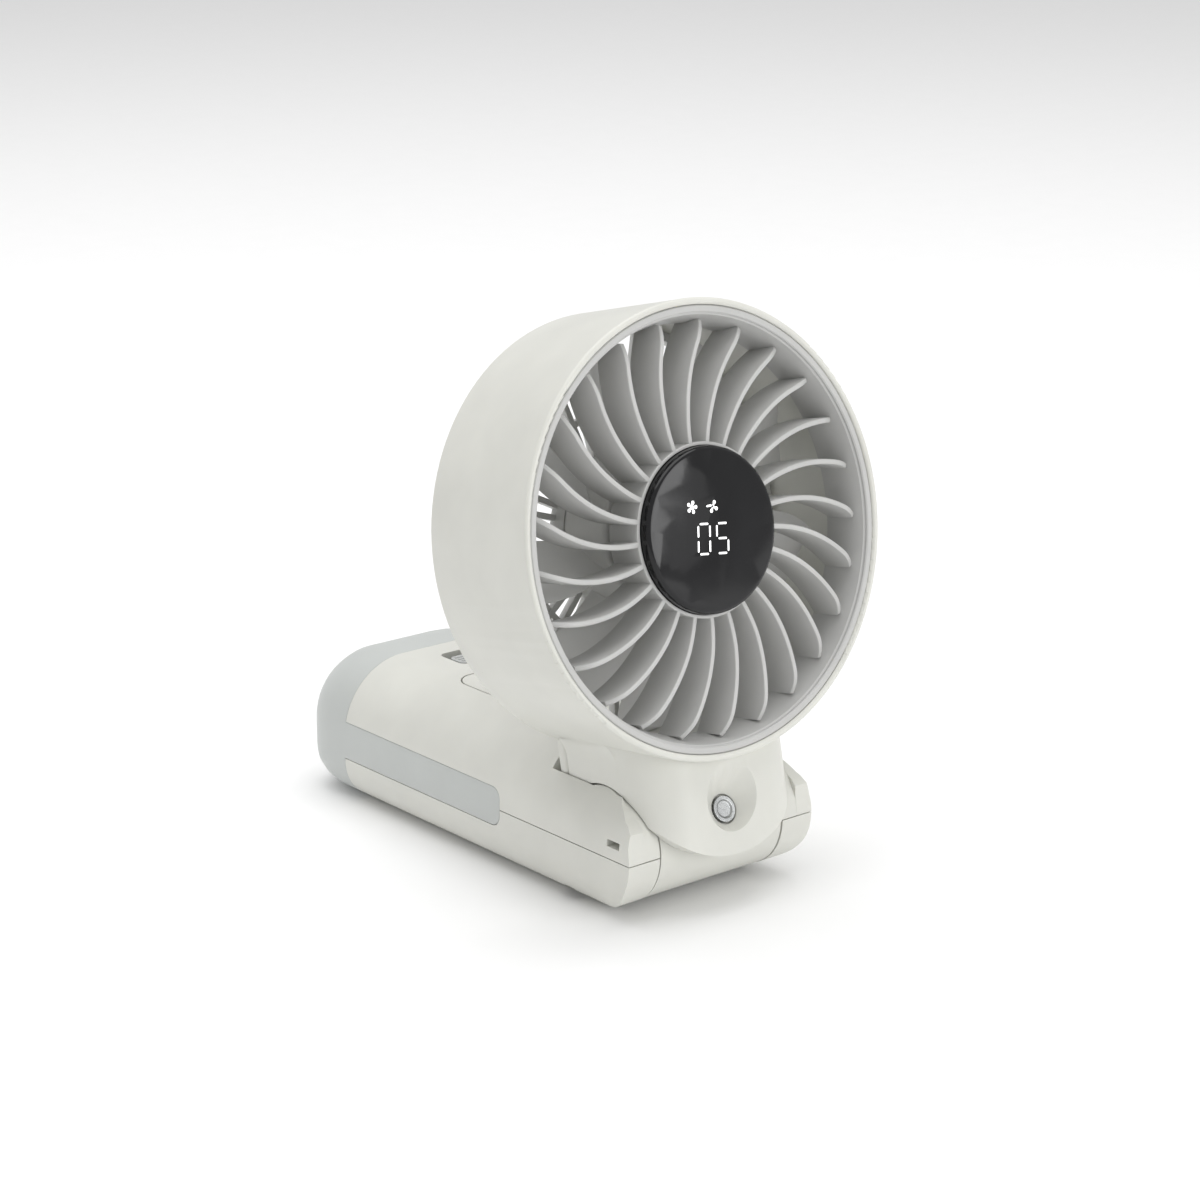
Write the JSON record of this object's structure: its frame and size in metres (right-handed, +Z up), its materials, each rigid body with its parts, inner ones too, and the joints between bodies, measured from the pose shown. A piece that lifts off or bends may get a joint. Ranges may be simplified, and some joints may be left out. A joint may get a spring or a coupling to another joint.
{
  "type": "folding handheld fan",
  "caption": "Folding handheld fan with a round turbine grille, a lit display in the hub, a hinged neck and a long handle with a glowing end cap that serves as its desk stand.",
  "frame": {"origin": "On the desk, under the middle of the handle's flat underside, on the middle plane of the object.", "axes": "+Z up from the desk, -Y the side the air leaves from, +Y towards the glowing end cap, +X along the hinge axis towards the charging socket's side."},
  "size_m": [0.0824, 0.109, 0.1105],
  "materials": {
    "shell_white": "fine satin",
    "diffuser": "milky, lets light through",
    "button_white": "fine satin",
    "switch_grey": "satin",
    "board_black": "dull",
    "board_green": "lacquered",
    "board_white": "lacquered",
    "cell_wrap": "shrink film",
    "nickel": "plain",
    "led_yellow": "clear",
    "steel": "plain",
    "bushing_brass": "plain",
    "washer_black": "dull",
    "grille_grey": "satin",
    "grille_light": "satin",
    "blade_white": "satin",
    "lens_black": "polished",
    "display_white": "lit",
    "magnet_dark": "dull",
    "core_steel": "laminated",
    "copper_wire": "enamelled"
  },
  "bodies": {
    "handle": {"upper_shell": "shell_white", "lower_shell": "shell_white", "light_diffuser": "diffuser", "switch_body": "board_black", "button_switch": "board_black", "main_board": "board_green", "board_chips": "board_black", "battery_cells": "cell_wrap", "cell_tabs": "nickel", "light_board": "board_white", "light_leds": "led_yellow", "usb_port": "steel", "usb_board": "board_green", "shell_screws": "steel", "hinge_bushings": "bushing_brass"},
    "button": {"power_button": "button_white"},
    "slider": {"slide_switch": "switch_grey"},
    "head": {"hinge_washers": "washer_black", "hinge_shaft": "steel", "hinge_barrel": "shell_white", "neck_screw": "steel", "head_shell": "shell_white", "neck_back_cover": "shell_white", "front_grille": "grille_grey", "display_lens": "lens_black", "display_digits": "display_white", "display_icons": "display_white", "display_board": "board_green", "motor_bearings": "steel", "motor_base": "blade_white", "stator_core": "core_steel", "stator_coils": "copper_wire", "motor_board": "board_green", "rear_grille": "grille_light"},
    "fan": {"impeller": "blade_white", "rotor_can": "steel", "rotor_magnet": "magnet_dark", "motor_shaft": "steel"}
  },
  "joints": [
    {"name": "head_fold", "type": "hinge", "parent": "handle", "child": "head", "pos_m": [0, -0.0428, 0.0128], "axis": [1, 0, 0], "range_deg": [-3, 101.7]},
    {"name": "fan_spin", "type": "hinge", "parent": "head", "child": "fan", "pos_m": [0, -0.0499, 0.07023], "axis": [0, -0.9792, 0.2028], "continuous": true},
    {"name": "power_press", "type": "slide", "parent": "handle", "child": "button", "axis": [0, 0, -1], "range_m": [0, 0.0005], "stiffness_N_per_m": 600},
    {"name": "switch_slide", "type": "slide", "parent": "handle", "child": "slider", "axis": [0, 1, 0], "range_m": [0, 0.0026]}
  ]
}
